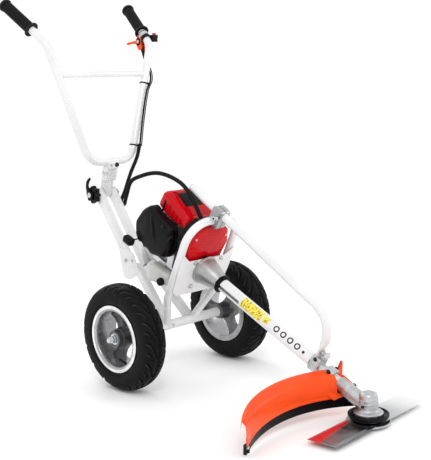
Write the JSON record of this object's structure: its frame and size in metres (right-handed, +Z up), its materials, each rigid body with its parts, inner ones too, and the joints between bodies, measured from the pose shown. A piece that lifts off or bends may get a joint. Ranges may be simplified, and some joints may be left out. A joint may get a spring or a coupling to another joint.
{
  "type": "wheeled brush cutter",
  "caption": "Walk-behind brush cutter: a small engine on a wheeled tube frame drives a flat blade through a sloping shaft, with a folding handlebar and a curved guard.",
  "frame": {"origin": "middle of the skid bowl on the ground, straight below the blade spindle", "axes": "+Z up, +Y back from the blade to the handlebar, +X to the operator's left"},
  "size_m": [0.6341, 1.2008, 1.1187],
  "materials": {
    "tyre": "moulded black rubber",
    "cast_dark": "dark grey cast rim",
    "zinc_steel": "zinc plated steel",
    "white_paint": "gloss white powder coat",
    "black_rubber": "ribbed black rubber",
    "black_plastic": "satin black plastic",
    "orange_plastic": "orange plastic",
    "red_plastic": "glossy red plastic",
    "cast_alloy": "satin cast aluminium",
    "brushed_steel": "brushed steel",
    "tank_plastic": "translucent grey white plastic",
    "heat_shield": "dark pressed steel"
  },
  "bodies": {
    "chassis": {"hub_nut_left": "zinc_steel", "hub_nut_right": "zinc_steel", "axle_tube": "white_paint", "axle_shaft": "zinc_steel", "front_hoop": "white_paint", "engine_plate": "white_paint", "column_tube_left": "white_paint", "column_tube_right": "white_paint", "lower_strut_left": "white_paint", "lower_strut_right": "white_paint", "gusset_plate_left": "white_paint", "gusset_plate_right": "white_paint", "pivot_bolt": "zinc_steel", "cable_conduit": "black_plastic", "support_tube": "white_paint", "top_clamp": "zinc_steel", "shaft_clamp": "cast_alloy", "clutch_housing": "cast_alloy", "rubber_collar": "black_rubber", "sleeve_tube": "white_paint", "drive_tube": "brushed_steel", "gear_case": "cast_alloy", "guard_shell": "orange_plastic", "guard_skirt": "black_plastic", "guard_bracket": "black_plastic", "engine_block": "cast_alloy", "fan_shroud": "red_plastic", "top_cover": "red_plastic", "air_cleaner": "black_plastic", "fuel_tank": "tank_plastic", "recoil_housing": "black_plastic", "muffler": "heat_shield"},
    "wheel_left": {"tyre_left": "tyre", "rim_left": "cast_dark", "wheel_bearing_left": "zinc_steel"},
    "wheel_right": {"tyre_right": "tyre", "rim_right": "cast_dark", "wheel_bearing_right": "zinc_steel"},
    "cutter": {"output_spindle": "zinc_steel", "blade_flange": "brushed_steel", "blade": "brushed_steel", "skid_bowl": "brushed_steel"},
    "drive_line": {"drive_shaft": "zinc_steel", "clutch_drum": "brushed_steel"},
    "crank": {"crankshaft": "zinc_steel"},
    "handle": {"handlebar": "white_paint", "handle_stem": "white_paint", "grip_left": "black_rubber", "grip_right": "black_rubber", "throttle_housing": "orange_plastic", "stop_switch": "black_plastic", "throttle_cable": "black_plastic"},
    "throttle": {"throttle_trigger": "orange_plastic"},
    "stop_button": {"stop_switch_button": "red_plastic"},
    "knob": {"star_knob": "black_plastic"},
    "fold_lever": {"clamp_lever": "black_plastic"},
    "wing_screw": {"clamp_wing_screw": "zinc_steel"},
    "choke": {"choke_lever": "black_plastic"},
    "tank_cap": {"fuel_cap": "black_plastic"},
    "starter": {"starter_grip": "black_rubber"}
  },
  "joints": [
    {"name": "wheel_left_spin", "type": "hinge", "parent": "chassis", "child": "wheel_left", "pos_m": [0.214, 0.67705, 0.1525], "axis": [1, 0, 0], "continuous": true},
    {"name": "wheel_right_spin", "type": "hinge", "parent": "chassis", "child": "wheel_right", "pos_m": [-0.214, 0.67705, 0.1525], "axis": [1, 0, 0], "continuous": true},
    {"name": "blade_spin", "type": "hinge", "parent": "chassis", "child": "cutter", "pos_m": [0, 0, 0.02], "axis": [0, 0, 1], "continuous": true},
    {"name": "drive_shaft_spin", "type": "hinge", "parent": "chassis", "child": "drive_line", "pos_m": [0, 0.56277, 0.3252], "axis": [0, 0.8947, 0.4467], "continuous": true},
    {"name": "crank_spin", "type": "hinge", "parent": "chassis", "child": "crank", "pos_m": [0, 0.56277, 0.3252], "axis": [0, 0.8947, 0.4467], "continuous": true},
    {"name": "handle_fold", "type": "hinge", "parent": "chassis", "child": "handle", "pos_m": [0, 0.99506, 0.52032], "axis": [-1, 0, 0], "range_deg": [0, 90], "deforming": ["cable_conduit"]},
    {"name": "throttle_pull", "type": "hinge", "parent": "handle", "child": "throttle", "pos_m": [0.21164, 1.04181, 0.99316], "axis": [1, 0, 0], "range_deg": [0, 18], "stiffness_Nm_per_rad": 0.4, "springref_deg": -17.19},
    {"name": "stop_button_press", "type": "slide", "parent": "handle", "child": "stop_button", "axis": [0, 0.0529, -0.9986], "range_m": [0, 0.003], "stiffness_N_per_m": 300, "springref_m": -0.001},
    {"name": "star_knob_turn", "type": "hinge", "parent": "chassis", "child": "knob", "pos_m": [0, 0.99506, 0.52032], "axis": [-1, 0, 0], "range_deg": [0, 360]},
    {"name": "fold_lever_turn", "type": "hinge", "parent": "chassis", "child": "fold_lever", "pos_m": [0, 0.99506, 0.52032], "axis": [-1, 0, 0], "range_deg": [0, 90]},
    {"name": "wing_screw_turn", "type": "hinge", "parent": "chassis", "child": "wing_screw", "pos_m": [-0.03, 0.4833, 0.48074], "axis": [-1, 0, 0], "range_deg": [0, 360]},
    {"name": "choke_turn", "type": "hinge", "parent": "chassis", "child": "choke", "pos_m": [-0.104, 0.5995, 0.4173], "axis": [-1, 0, 0], "range_deg": [0, 60]},
    {"name": "fuel_cap_turn", "type": "hinge", "parent": "chassis", "child": "tank_cap", "pos_m": [-0.07, 0.67905, 0.28488], "axis": [-1, 0, 0], "range_deg": [0, 360]},
    {"name": "starter_pull", "type": "slide", "parent": "chassis", "child": "starter", "axis": [-1, 0, 0], "range_m": [0, 0.5], "stiffness_N_per_m": 8, "springref_m": -0.4}
  ],
  "couplings": [
    {"joint": "drive_shaft_spin", "follows": "blade_spin", "ratio": 1.2667}
  ]
}
